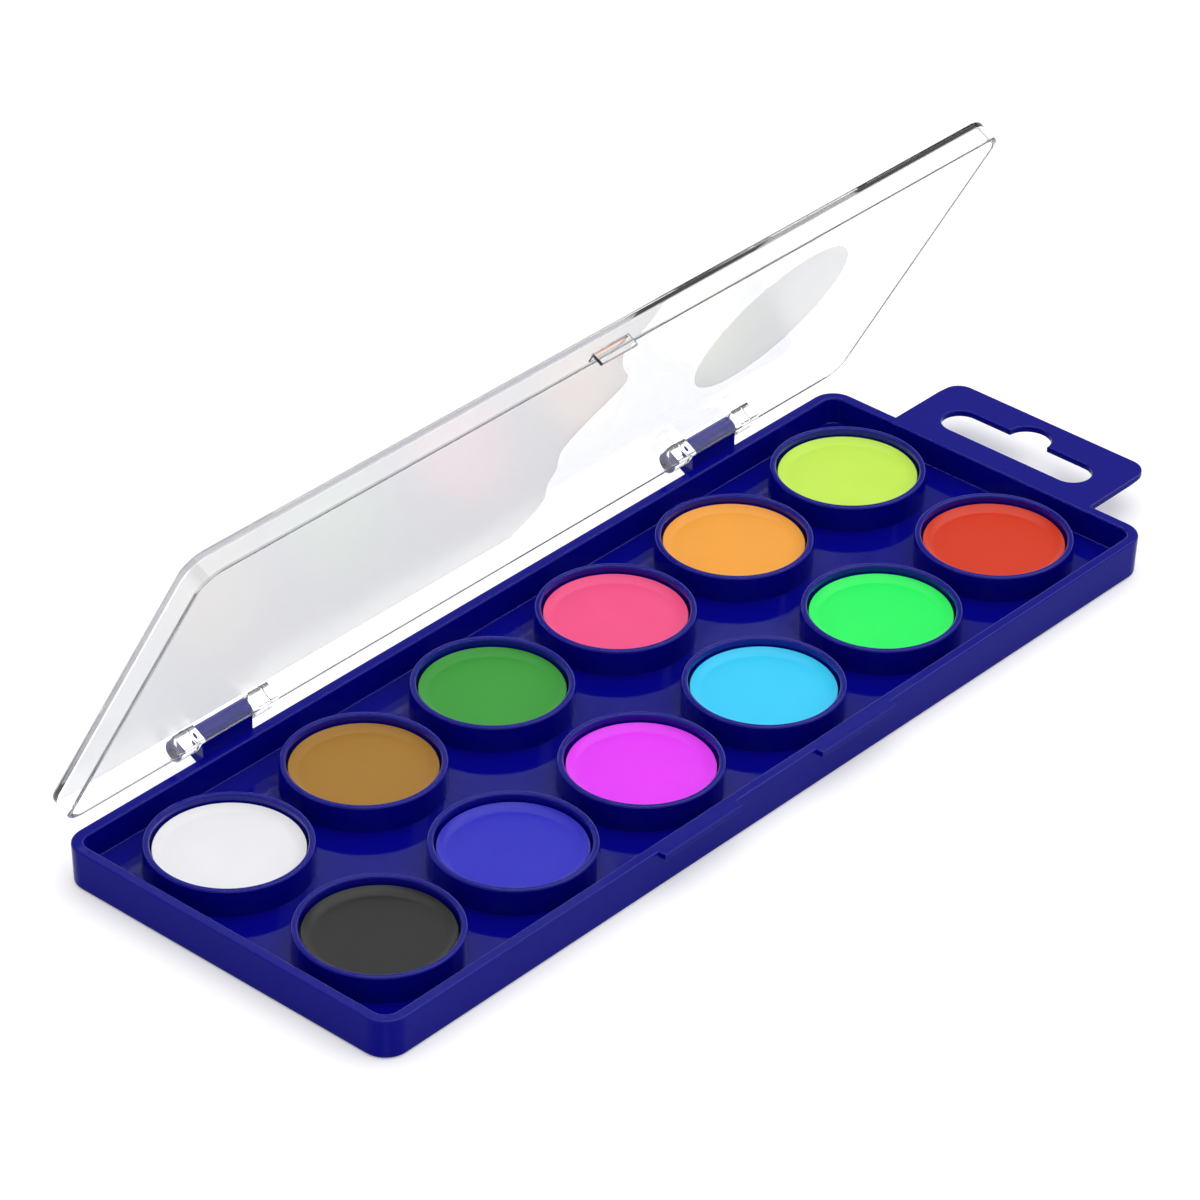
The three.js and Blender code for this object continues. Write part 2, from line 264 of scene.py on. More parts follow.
class StudioLooks(PropertyGroup):
    """Camera and light."""

    target: FloatVectorProperty(
        name="Target", description="Point that the camera looks at",
        default=(0.01449, 0.01896, 0.0072), subtype="TRANSLATION", size=3,
    )
    distance: FloatProperty(
        name="Distance", description="Camera to target", default=0.90759, unit="LENGTH"
    )
    azimuth: FloatProperty(
        name="Azimuth", description="Direction of view about +Z, from +X",
        default=math.radians(40.874), subtype="ANGLE",
    )
    elevation: FloatProperty(
        name="Elevation", description="How far the camera looks down",
        default=math.radians(33.134), subtype="ANGLE",
    )
    roll: FloatProperty(
        name="Roll", description="Camera's turn about its line of sight",
        default=math.radians(1.24), subtype="ANGLE",
    )
    lens: FloatProperty(
        name="Lens", description="Focal length on a 36 mm sensor", default=165.556, unit="CAMERA"
    )
    horizon: FloatProperty(
        name="Horizon", description="Strength of the sky at the horizon", default=0.70
    )
    zenith: FloatProperty(name="Zenith", description="Strength of the sky overhead", default=0.45)
    room: FloatProperty(
        name="Room", description="Strength of the room above the backdrop", default=0.25
    )
    backdrop_top: FloatProperty(
        name="Backdrop top", description="Sine of the angle where the backdrop ends", default=0.45
    )
    floor_side: FloatProperty(
        name="Floor side", description="Length of the floor's sides", default=12.0, unit="LENGTH"
    )
    floor_tone: FloatProperty(
        name="Floor tone", description="How pale the floor itself is", default=0.88
    )
    floor_lift: FloatProperty(
        name="Floor lift", description="White added where it is seen", default=0.28
    )
    floor_near: FloatProperty(
        name="Lit floor", description="Reach of the floor that is left as it is lit",
        default=0.3, unit="LENGTH",
    )
    floor_fade: FloatProperty(
        name="Floor fade", description="Width over which the floor beyond turns white",
        default=0.5, unit="LENGTH",
    )
    clear_lift: FloatProperty(
        name="Clear lift", description="White added behind clear plastic", default=0.55
    )
    key: FloatProperty(
        name="Key lamp", description="Power of the key lamp in watts", default=16.0, unit="POWER"
    )
    key_size: FloatProperty(
        name="Key size", description="Side of the key lamp", default=2.0, unit="LENGTH"
    )
    key_place: FloatVectorProperty(
        name="Key place", description="Where the key lamp hangs",
        default=(0.25, -0.10, 1.25), subtype="TRANSLATION", size=3,
    )


def values_of(context, name):
    """The values that a user can change, of the group of that name."""
    return getattr(context.scene, GROUP_PREFIX + name)


def tray_half_size(context):
    """Half the tray's length and half its width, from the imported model."""
    return -TRAY_LOW.x, HINGE.y - values_of(context, "hinge").barrel_radius


def well_centres():
    """Middle of each well, seen from above, in the order of the cakes."""
    corners = [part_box(name) for name in CAKES]
    return [((low + high) / 2).xy for low, high in corners]


def hinge_places(context):
    """Middle of each hinge along the tray."""
    sizes = values_of(context, "hinge")
    half_x = tray_half_size(context)[0]
    return sizes.plain_inset - half_x, half_x - sizes.tab_inset


# Modelling steps

def take(piece):
    """Select only this piece and make it the active one."""
    bpy.ops.object.select_all(action="DESELECT")
    piece.select_set(True)
    bpy.context.view_layer.objects.active = piece


def settle(name):
    """Name the new primitive and put its place into its mesh."""
    piece = bpy.context.active_object
    piece.name = name
    piece.data.name = name
    bpy.ops.object.transform_apply(location=True, rotation=True, scale=True)
    return piece


def add_block(name, low, high):
    """A block between two opposite corners."""
    low, high = Vector(low), Vector(high)
    bpy.ops.object.select_all(action="DESELECT")
    bpy.ops.mesh.primitive_cube_add(size=1, location=(low + high) / 2, scale=high - low)
    return settle(name)


def add_post(name, radius, centre, low, high, sides):
    """An upright cylinder."""
    bpy.ops.object.select_all(action="DESELECT")
    place = (centre[0], centre[1], (low + high) / 2)
    bpy.ops.mesh.primitive_cylinder_add(
        vertices=sides, radius=radius, depth=high - low, location=place,
    )
    return settle(name)


def add_rod(name, radius, x0, x1, sides):
    """A cylinder along the hinge axis."""
    bpy.ops.object.select_all(action="DESELECT")
    bpy.ops.mesh.primitive_cylinder_add(
        vertices=sides, radius=radius, depth=x1 - x0, location=((x0 + x1) / 2, HINGE.y, HINGE.z),
        rotation=(0, math.pi / 2, 0),
    )
    return settle(name)


def add_hinge_block(name, x0, x1, y0, z0, radius):
    """A block from y0 and z0 as far as a barrel of that radius reaches."""
    return add_block(name, (x0, y0, z0), (x1, HINGE.y + radius, HINGE.z + radius))


def edit(piece, kind, test, sharp=False):
    """Open the piece in edit mode with only those edges or faces selected that pass the test."""
    take(piece)
    bpy.ops.object.mode_set(mode="EDIT")
    bpy.ops.mesh.select_mode(type=kind)
    bpy.ops.mesh.select_all(action="DESELECT" if sharp else "SELECT")
    if sharp:
        bpy.ops.mesh.edges_select_sharp(sharpness=SHARP_ANGLE)
    bpy.ops.object.mode_set(mode="OBJECT")
    mesh = piece.data
    if kind == "FACE":
        chosen = [face.index for face in mesh.polygons if test(face.center, face.normal)]
    else:
        spots = [vertex.co for vertex in mesh.vertices]
        ends = [[spots[index] for index in edge.vertices] for edge in mesh.edges]
        chosen = [edge.index for edge in mesh.edges if edge.select and test(*ends[edge.index])]
    if not chosen:
        raise RuntimeError(f"{piece.name}: nothing passes the test")
    bpy.ops.object.mode_set(mode="EDIT")
    bpy.ops.mesh.select_all(action="DESELECT")
    bpy.ops.object.mode_set(mode="OBJECT")
    parts = mesh.polygons if kind == "FACE" else mesh.edges
    for index in chosen:
        parts[index].select = True
    bpy.ops.object.mode_set(mode="EDIT")


def close_edit():
    """Go back to object mode."""
    bpy.ops.object.mode_set(mode="OBJECT")


def round_edges(piece, radius, segments, test):
    """Bevel the sharp edges whose two ends pass the test."""
    edit(piece, "EDGE", test, sharp=True)
    bpy.ops.mesh.bevel(offset=radius, segments=segments, affect="EDGES", clamp_overlap=True)
    close_edit()


def upright(first, second):
    """A test for edges that rise."""
    return abs(first.z - second.z) > HAIR


def along_hinge(first, second):
    """A test for edges that run the way of the hinge axis."""
    return abs(first.x - second.x) > HAIR * 10


def level_at(height):
    """A test for edges that lie at that height."""
    return lambda first, second: abs(first.z - height) < HAIR and abs(second.z - height) < HAIR


def sink_pocket(piece, height, rising, wall, depth, narrowing=0.0):
    """Sink a walled pocket into the level face at that height that looks up, or down."""
    sign = 1 if rising else -1
    edit(piece, "FACE", lambda middle, normal: (
        abs(middle.z - height) < HAIR and normal.z * sign > LEVEL
    ))
    bpy.ops.mesh.inset(thickness=wall, use_even_offset=True)
    bpy.ops.mesh.extrude_region_move(TRANSFORM_OT_translate={"value": (0, 0, -sign * depth)})
    if narrowing:
        narrow(piece, narrowing)
    close_edit()


def narrow(piece, step):
    """Draw the selected face in by the step on every side."""
    bpy.ops.object.mode_set(mode="OBJECT")
    spots = [vertex.co for vertex in piece.data.vertices if vertex.select]
    low = Vector([min(spot[axis] for spot in spots) for axis in range(3)])
    high = Vector([max(spot[axis] for spot in spots) for axis in range(3)])
    middle, half = (low + high) / 2, (high - low) / 2
    bpy.ops.object.mode_set(mode="EDIT")
    bpy.ops.transform.resize(
        value=((half.x - step) / half.x, (half.y - step) / half.y, 1), center_override=middle
    )


def combine(piece, tool, operation):
    """Join the tool to the piece, or cut it out, and delete the tool."""
    take(piece)
    bpy.ops.object.modifier_add(type="BOOLEAN")
    modifier = piece.modifiers[-1]
    modifier.operation = operation
    modifier.solver = "EXACT"
    modifier.object = tool
    bpy.ops.object.modifier_apply(modifier=modifier.name)
    bpy.data.objects.remove(tool)


def fuse(piece, *tools):
    """Join the tools to the piece, one after the other."""
    for tool in tools:
        combine(piece, tool, "UNION")


def carve(piece, tool):
    """Cut the tool out of the piece."""
    combine(piece, tool, "DIFFERENCE")


def copy_to_others(piece, centres):
    """Copies of the piece at the first centre, each with its own mesh, at all other centres."""
    copies = []
    for centre in centres[1:]:
        take(piece)
        bpy.ops.object.duplicate(linked=False)
        bpy.ops.transform.translate(value=(*(centre - centres[0]), 0))
        bpy.ops.object.transform_apply(location=True, rotation=False, scale=False)
        copies.append(bpy.context.active_object)
    return copies


def give_finish(piece, slot, test):
    """Give the faces that pass the test the material in that slot."""
    edit(piece, "FACE", test)
    piece.active_material_index = slot
    bpy.ops.object.material_slot_assign()
    close_edit()


def finish_piece(piece, materials, body, node):
    """Close and smooth a piece, add its materials, and let it ride its body in the node's place."""
    take(piece)
    bpy.ops.object.mode_set(mode="EDIT")
    bpy.ops.mesh.select_mode(type="VERT")
    bpy.ops.mesh.select_all(action="SELECT")
    bpy.ops.mesh.remove_doubles(threshold=HAIR / 10)
    bpy.ops.mesh.normals_make_consistent(inside=False)
    bpy.ops.object.mode_set(mode="OBJECT")
    bpy.ops.object.shade_smooth_by_angle(angle=SMOOTH_ANGLE)
    bpy.ops.object.modifier_add(type="WEIGHTED_NORMAL")
    modifier = piece.modifiers[-1]
    modifier.keep_sharp = True
    bpy.ops.object.modifier_apply(modifier=modifier.name)
    for material in materials:
        piece.data.materials.append(material)
    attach(piece, body)
    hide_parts(node)


# Finishes

class Wire:
    """An output of a shader node.

    An expression on wires adds its Math nodes, and | takes the greater of two.
    """

    def __init__(self, finish, socket):
        self.finish = finish
        self.socket = socket

    def _math(self, operation, first, second):
        """A Math node on two values or wires."""
        return self.finish.node("Math", {"operation": operation}, {0: first, 1: second})

    def __add__(self, other):
        return self._math("ADD", self, other)

    def __radd__(self, other):
        return self._math("ADD", other, self)

    def __sub__(self, other):
        return self._math("SUBTRACT", self, other)

    def __rsub__(self, other):
        return self._math("SUBTRACT", other, self)

    def __mul__(self, other):
        return self._math("MULTIPLY", self, other)

    def __rmul__(self, other):
        return self._math("MULTIPLY", other, self)

    def __truediv__(self, other):
        return self._math("DIVIDE", self, other)

    def __rtruediv__(self, other):
        return self._math("DIVIDE", other, self)

    def __or__(self, other):
        return self._math("MAXIMUM", self, other)

    def __ror__(self, other):
        return self._math("MAXIMUM", other, self)


class Finish:
    """A material, or the world, with its node tree."""

    def __init__(self, owner):
        self.owner = owner
        owner.use_nodes = True
        self.tree = owner.node_tree
        self.tree.nodes.clear()

    def node(self, kind, settings, sockets, output=0):
        """Add a node, set it up, feed its sockets and return one of its outputs."""
        node = self.tree.nodes.new("ShaderNode" + kind)
        for key, value in settings.items():
            setattr(node, key, value)
        for key, value in sockets.items():
            if isinstance(value, Wire):
                self.tree.links.new(value.socket, node.inputs[key])
            else:
                node.inputs[key].default_value = value
        return Wire(self, node.outputs[output]) if len(node.outputs) else node

    def place(self):
        """Where a point lies in its object."""
        return self.node("TexCoord", {}, {}, "Object")

    def part(self, vector, axis):
        """One number of a vector."""
        return self.node("SeparateXYZ", {}, {"Vector": vector}, axis)

    def noise(self, place, scale, detail):
        """A noise that runs from 0 to 1."""
        return self.node("TexNoise", {}, {"Vector": place, "Scale": scale, "Detail": detail})

    def bump(self, height, strength, distance):
        """A bump of the surface."""
        return self.node("Bump", {}, {"Strength": strength, "Distance": distance, "Height": height})

    def ray(self, kind):
        """1 for the rays of that kind, and 0 for all others."""
        return self.node("LightPath", {}, {}, f"Is {kind} Ray")

    def mix_colours(self, factor, first, second):
        """A colour between two others."""
        return self.node("Mix", {"data_type": "RGBA"}, {0: factor, 6: first, 7: second}, 2)

    def mottled(self, factor, rgb, spread):
        """The colour, which the factor makes darker or lighter by up to the spread."""
        return self.mix_colours(factor, shaded(rgb, 1 - spread), shaded(rgb, 1 + spread))

    def mix_surfaces(self, factor, first, second):
        """A surface that is partly one finish and partly another."""
        return self.node("MixShader", {}, {0: factor, 1: first, 2: second})

    def end(self, surface, kind="OutputMaterial"):
        """Close the node tree and return the material or the world."""
        self.node(kind, {}, {"Surface": surface})
        return self.owner


def new_finish(name):
    """A new material of that name, with an empty node tree."""
    return Finish(bpy.data.materials.new(name))


def shaded(rgb, factor):
    """The colour made lighter or darker by a factor, as a socket takes it."""
    return (rgb[0] * factor, rgb[1] * factor, rgb[2] * factor, 1.0)


def opaque(rgb):
    """The colour as a socket takes it."""
    return shaded(rgb, 1)


def moulded_plastic(context):
    """Moulded plastic with a faint flow in its colour, polished on all but the outer walls."""
    sizes = values_of(context, "tray")
    half_x, half_y = tray_half_size(context)
    finish = new_finish("moulded_plastic")
    place = finish.place()
    flow = finish.noise(place, scale=45.0, detail=3.0)
    grain = finish.noise(place, scale=1800.0, detail=2.0)
    from_middle = finish.node("VectorMath", {"operation": "ABSOLUTE"}, {0: place})
    off_ends = clipped((half_x - sizes.wall / 2 - finish.part(from_middle, "X")) / MM)
    off_sides = clipped((half_y - sizes.wall / 2 - finish.part(from_middle, "Y")) / MM)
    upper = clipped((finish.part(place, "Z") - sizes.rim + sizes.rim_round) / sizes.rim_round)
    return finish.end(finish.node("BsdfPrincipled", {}, {
        "Base Color": finish.mottled(flow, sizes.plastic, spread=0.06),
        "Roughness": 0.08 + flow * 0.08,
        "Normal": finish.bump(grain, strength=0.05, distance=0.02 * MM),
        "IOR": 1.5,
        "Specular IOR Level": 0.045,
        "Coat Weight": (off_ends * off_sides | upper) * sizes.polish,
        "Coat Roughness": 0.06,
        "Coat IOR": 1.4,
    }))


def pressed_paint(name, rgb):
    """Dry pressed paint: a soft sheen, a mottled colour and a powdery grain."""
    finish = new_finish(name)
    place = finish.place()
    mottle = finish.noise(place, scale=160.0, detail=1.0)
    grain = finish.noise(place, scale=450.0, detail=1.0)
    return finish.end(finish.node("BsdfPrincipled", {}, {
        "Base Color": finish.mottled(mottle, rgb, spread=0.03),
        "Roughness": 0.27 + mottle * 0.06,
        "Normal": finish.bump(grain, strength=0.05, distance=0.04 * MM),
        "IOR": 1.45,
        "Specular IOR Level": 0.5,
    }))


def clear_plastic(looks, print_middle=None):
    """Clear polished plastic with the faintest waves, plain or with the print on it."""
    finish = new_finish("printed_plastic" if print_middle else "clear_plastic")
    place = finish.place()
    waves = finish.noise(place, scale=60.0, detail=1.0)
    roughness = 0.01 + waves * 0.02
    if print_middle:
        cover, cloud = print_cover(finish, looks, place, print_middle)
        roughness = roughness + cover * looks.ink_haze
    surface = finish.node("BsdfPrincipled", {}, {
        "Base Color": opaque(looks.plastic),
        "Roughness": roughness,
        "Normal": finish.bump(waves, strength=0.02, distance=0.05 * MM),
        "IOR": CLEAR_IOR,
        "Transmission Weight": 1.0,
    })
    if print_middle:
        ink = finish.node("BsdfTranslucent", {}, {"Color": opaque(looks.ink)})
        share = cover * (looks.ink_cover + (cloud - 0.5) * PRINT_CLOUD)
        surface = finish.mix_surfaces(share, surface, ink)
    return finish.end(passing_light(finish, looks, surface))


def rubbed_plastic(looks):
    """Clear plastic made dull and a little grey along the mouth of the lid: the grey is a painted
    dark reflection of the lid's edges.
    """
    finish = new_finish("rubbed_plastic")
    edge_shade_noise = finish.noise(finish.place(), scale=250.0, detail=2.0)
    surface = finish.node("BsdfPrincipled", {}, {
        "Base Color": finish.mottled(edge_shade_noise, looks.rubbed, spread=0.2),
        "Roughness": 0.2 + edge_shade_noise * 0.1,
        "IOR": CLEAR_IOR,
        "Transmission Weight": 1.0,
    })
    return finish.end(passing_light(finish, looks, surface))


def passing_light(finish, looks, surface):
    """The surface as it is seen, through which the light for other pieces passes straight."""
    through = finish.node("BsdfTransparent", {}, {"Color": opaque(looks.plastic)})
    return finish.mix_surfaces(finish.ray("Shadow") | finish.ray("Diffuse"), surface, through)


def print_cover(finish, looks, place, middle):
    """How much a translucent print covers: a wide wash with a waving edge, and a plain disc."""
    turn = Matrix.Rotation(OPEN_ANGLE, 3, "X")
    flat = finish.node("Mapping", {}, {
        "Vector": place, "Location": HINGE - middle - turn @ HINGE, "Rotation": (OPEN_ANGLE, 0, 0),
    })
    across = finish.node("VectorMath", {"operation": "MULTIPLY"}, {0: flat, 1: (0.0, 1.0, 0.0)})
    wave = finish.noise(across, scale=65.0, detail=0.0)
    edge = (wave - 0.5) * (looks.wash_wave / NOISE_REACH) + looks.wash_edge
    wash = clipped((edge - finish.part(flat, "X")) / PRINT_EDGE)
    disc_middle = (looks.disc_place, 0, 0)
    reach = finish.node("VectorMath", {"operation": "DISTANCE"}, {0: flat, 1: disc_middle}, "Value")
    disc = clipped((looks.disc_radius - reach) / PRINT_EDGE)
    return wash | disc, finish.noise(flat, scale=35.0, detail=3.0)


def clipped(wire):
    """The value kept between 0 and 1."""
    return wire.finish.node("Clamp", {}, {"Value": wire})


def eased(wire, start, end, first, last):
    """A value that goes gently from the first to the last while the wire goes from start to end."""
    return wire.finish.node("MapRange", {"interpolation_type": "SMOOTHSTEP"}, {
        "Value": wire, "From Min": start, "From Max": end, "To Min": first, "To Max": last,
    })


def sky(context, looks):
    """A soft sky, and for gloss and clear plastic a white horizon under a dimmer room."""
    context.scene.world = bpy.data.worlds.new("sky")
    finish = Finish(context.scene.world)
    rise = finish.part(finish.node("TexCoord", {}, {}, "Generated"), "Z")
    level = eased(rise, HORIZON_RISE, ZENITH_RISE, looks.horizon, looks.zenith)
    backdrop = eased(rise, BACKDROP_RISE, looks.backdrop_top, 1.0, looks.room)
    shown = level + (finish.ray("Glossy") | finish.ray("Transmission")) * (backdrop - level)
    strength = finish.ray("Camera") | shown
    light = finish.node("Background", {}, {"Color": opaque(WHITE), "Strength": strength})
    return finish.end(light, "OutputWorld")


def pale_floor(looks):
    """A pale floor that keeps the shadows and is white for the camera, gloss and clear plastic."""
    finish = new_finish("pale_floor")
    reach = finish.node("VectorMath", {"operation": "LENGTH"}, {0: finish.place()}, "Value")
    far = clipped((reach - looks.floor_near) / looks.floor_fade)
    camera_ray = finish.ray("Camera")
    lift = (camera_ray + finish.ray("Glossy")) * looks.floor_lift
    white = lift + finish.ray("Transmission") * looks.clear_lift + camera_ray * far
    return finish.end(finish.node("BsdfPrincipled", {}, {
        "Base Color": shaded(WHITE, looks.floor_tone),
        "Roughness": 1.0,
        "Specular IOR Level": 0.0,
        "Emission Color": white,
        "Emission Strength": 1.0,
    }))


class PAINTBOX_OT_tray(Operator):
    """Model the tray with its wells, lips, hang tab and hinge brackets"""

    bl_idname = "paintbox.tray"
    bl_label = "Make the tray"

    def execute(self, context):
        tray = self.dish(context)
        fuse(
            tray, self.wells(context), self.hang_tab(context),
            *self.lips(context), *self.brackets(context),
        )
        self.bore_barrels(context, tray)
        finish_piece(tray, [moulded_plastic(context)], TRAY_BODY, "tray")
        return {"FINISHED"}

    def dish(self, context):
        """The tray's floor and walls, with the recess and ribs under the floor."""
        sizes = values_of(context, "tray")
        half_x, half_y = tray_half_size(context)
        tray = add_block("paint_tray", (-half_x, -half_y, 0), (half_x, half_y, sizes.rim))
        round_edges(tray, sizes.corner, CORNER_STEPS, upright)
        edit(tray, "FACE", lambda middle, normal: normal.z < -LEVEL)
        narrow(tray, sizes.outer_draft)
        close_edit()
        sink_pocket(tray, sizes.rim, True, sizes.wall, sizes.rim - sizes.floor, sizes.inner_draft)
        recess = sizes.floor - sizes.floor_plate
        sink_pocket(tray, 0, False, sizes.foot_width, recess)
        fuse(tray, *self.ribs(context, recess))
        round_edges(tray, sizes.rim_round, EDGE_STEPS, level_at(sizes.rim))
        round_edges(tray, sizes.floor_round, EDGE_STEPS, level_at(sizes.floor))
        foot = level_at(0)
        inset = sizes.outer_draft + sizes.foot_width / 2
        corner = sizes.corner - sizes.foot_width / 2
        on_edge = lambda spot: not self.inside(spot, half_x - inset, half_y - inset, corner)
        round_edges(tray, sizes.foot_round, RIM_STEPS, lambda a, b: (
            foot(a, b) and on_edge(a) and on_edge(b)
        ))
        return tray

    def inside(self, spot, half_x, half_y, corner):
        """Whether a spot lies inside a rectangle with round corners."""
        over_x = max(abs(spot.x) - (half_x - corner), 0)
        over_y = max(abs(spot.y) - (half_y - corner), 0)
        return math.hypot(over_x, over_y) < corner

    def ribs(self, context, recess):
        """One rib along the tray, and one across between each two columns of wells."""
        sizes = values_of(context, "tray")
        half_x, half_y = tray_half_size(context)
        half_rib = sizes.rib_width / 2
        inset = sizes.outer_draft + sizes.foot_width - half_rib
        reach_x, reach_y = half_x - inset, half_y - inset
        top = recess + sizes.floor_plate / 2
        rows = sorted({round(spot.x, 6) for spot in well_centres()})
        bars = [add_block("rib", (-reach_x, -half_rib, 0), (reach_x, half_rib, top))]
        for first, second in zip(rows, rows[1:]):
            middle = (first + second) / 2
            low, high = (middle - half_rib, -reach_y, 0), (middle + half_rib, reach_y, top)
            bars.append(add_block("rib", low, high))
        return bars

    def wells(self, context):
        """The rings of the wells, joined as one piece."""
        tray, sizes = values_of(context, "tray"), values_of(context, "well")
        radius = CAKE_RADIUS + sizes.clearance + sizes.wall
        rim = tray.rim - sizes.rim_drop
        root = tray.floor - tray.floor_plate / 2
        centres = well_centres()
        ring = add_post("well", radius, centres[0], root, rim, CUP_SIDES)
        edit(ring, "FACE", lambda middle, normal: normal.z < -LEVEL)
        narrow(ring, -sizes.draft)
        close_edit()
        sink_pocket(ring, rim, True, sizes.wall, rim - tray.floor + HAIR * 5)
        round_edges(ring, sizes.rim_round, RIM_STEPS, level_at(rim))
        copies = copy_to_others(ring, centres)
        take(ring)
        for copy in copies:
            copy.select_set(True)
        bpy.ops.object.join()
        return ring

    def hang_tab(self, context):
        """The tab with its long slot and the round notch in it."""
        tray, sizes = values_of(context, "tray"), values_of(context, "tab")
        half_x = tray_half_size(context)[0]
        middle, half_width, half_slot = -sizes.offset, sizes.width / 2, sizes.slot_length / 2
        low, high = tray.rim - sizes.thickness, tray.rim
        tab = add_block(
            "tab",
            (half_x - tray.wall / 2, middle - half_width, low),
            (TRAY_HIGH.x, middle + half_width, high),
        )
        round_edges(tab, sizes.corner, TAB_STEPS, lambda a, b: upright(a, b) and a.x > half_x)
        radius = sizes.slot_width / 2
        slot_x = half_x + sizes.slot_start + radius
        slot = add_block(
            "slot",
            (slot_x - radius, middle - half_slot, low - tray.wall),
            (slot_x + radius, middle + half_slot, high + tray.wall),
        )
        round_edges(slot, radius - HAIR, SLOT_STEPS, upright)
        hook = add_post(
            "hook", sizes.hook_radius, (slot_x + sizes.hook_rise, middle),
            low - tray.wall * 1.5, high + tray.wall * 1.5, HOOK_SIDES,
        )
        carve(tab, slot)
        carve(tab, hook)
        outside = lambda a, b: min(a.x, b.x) > half_x + HAIR and abs(a.z - b.z) < HAIR
        round_edges(tab, sizes.edge_round, SMALL_STEPS, outside)
        return tab

    def lips(self, context):
        """The two lips on the front rim that the latch snaps between."""
        tray = values_of(context, "tray")
        half_y = tray_half_size(context)[1]
        made = []
        for side in (-1, 1):
            near = -tray.lip_offset + side * tray.lip_gap / 2
            far = near + side * tray.lip_length
            lip = add_block(
                "lip",
                (min(near, far), -half_y - tray.lip_reach, tray.rim - tray.lip_thickness),
                (max(near, far), -half_y + tray.wall / 2, tray.rim),
            )
            front = lambda a, b: min(a.y, b.y) < -half_y - HAIR and not upright(a, b)
            round_edges(lip, tray.rim_round / 2, SMALL_STEPS, front)
            made.append(lip)
        return made

    def brackets(self, context):
        """Half-round barrels that stand on the rim, each on a gusset down the back wall."""
        tray, sizes = values_of(context, "tray"), values_of(context, "hinge")
        half_y = tray_half_size(context)[1]
        rear = HINGE.y + sizes.barrel_radius
        crest = HINGE.z + sizes.barrel_radius
        root = tray.rim - sizes.gusset_edge / 2
        foot = tray.rim - sizes.gusset_drop
        on_crest = lambda a, b: along_hinge(a, b) and a.z > crest - HAIR
        low_rear = lambda a, b: min(a.y, b.y) > rear - HAIR * 2 and max(a.z, b.z) < foot + HAIR
        made = []
        for middle in hinge_places(context):
            x0, x1 = middle - sizes.barrel_length / 2, middle + sizes.barrel_length / 2
            barrel = add_hinge_block("bracket", x0, x1, half_y, root, sizes.barrel_radius)
            round_edges(barrel, sizes.barrel_radius - HAIR, BARREL_STEPS, on_crest)
            gusset = add_block(
                "gusset",
                (x0 + HAIR, half_y - tray.wall / 2, foot),
                (x1 - HAIR, rear - HAIR, tray.rim - HAIR * 2),
            )
            edit(gusset, "EDGE", low_rear)
            bpy.ops.transform.translate(value=(0, 0, sizes.gusset_drop - sizes.gusset_edge))
            close_edit()
            fuse(barrel, gusset)
            made.append(barrel)
        return made

    def bore_barrels(self, context, tray):
        """Bore the barrels for the lid's stub pins."""
        sizes = values_of(context, "hinge")
        reach = sizes.barrel_length / 2 + sizes.ear_gap / 2
        for middle in hinge_places(context):
            x0, x1 = middle - reach, middle + reach
            carve(tray, add_rod("bore", sizes.bore_radius, x0, x1, BORE_SIDES))


class PAINTBOX_OT_cakes(Operator):
    """Model the paint cakes, one in each well"""

    bl_idname = "paintbox.cakes"
    bl_label = "Make the paint cakes"

    def execute(self, context):
        looks = values_of(context, "cake")
        centres = well_centres()
        top = CAKE_HIGH.z - looks.top_drop
        first = add_post("pressed_cake", CAKE_RADIUS, centres[0], CAKE_LOW.z, top, CUP_SIDES)
        edit(first, "FACE", lambda middle, normal: normal.z > LEVEL)
        bpy.ops.mesh.inset(thickness=looks.rim_width)
        bpy.ops.mesh.inset(thickness=looks.dish_slope, depth=-looks.dish_depth)
        close_edit()
        round_edges(first, looks.dish_round, DISH_STEPS, level_at(top - looks.dish_depth))
        round_edges(first, looks.rim_width / 3, CAKE_RIM_STEPS, level_at(top))
        for cake, node in zip([first, *copy_to_others(first, centres)], CAKES):
            cake.name = "pressed_" + node
            hue = node.removesuffix("_cake")
            paint = pressed_paint(hue + "_paint", getattr(looks, hue))
            finish_piece(cake, [paint], TRAY_BODY, node)
        return {"FINISHED"}


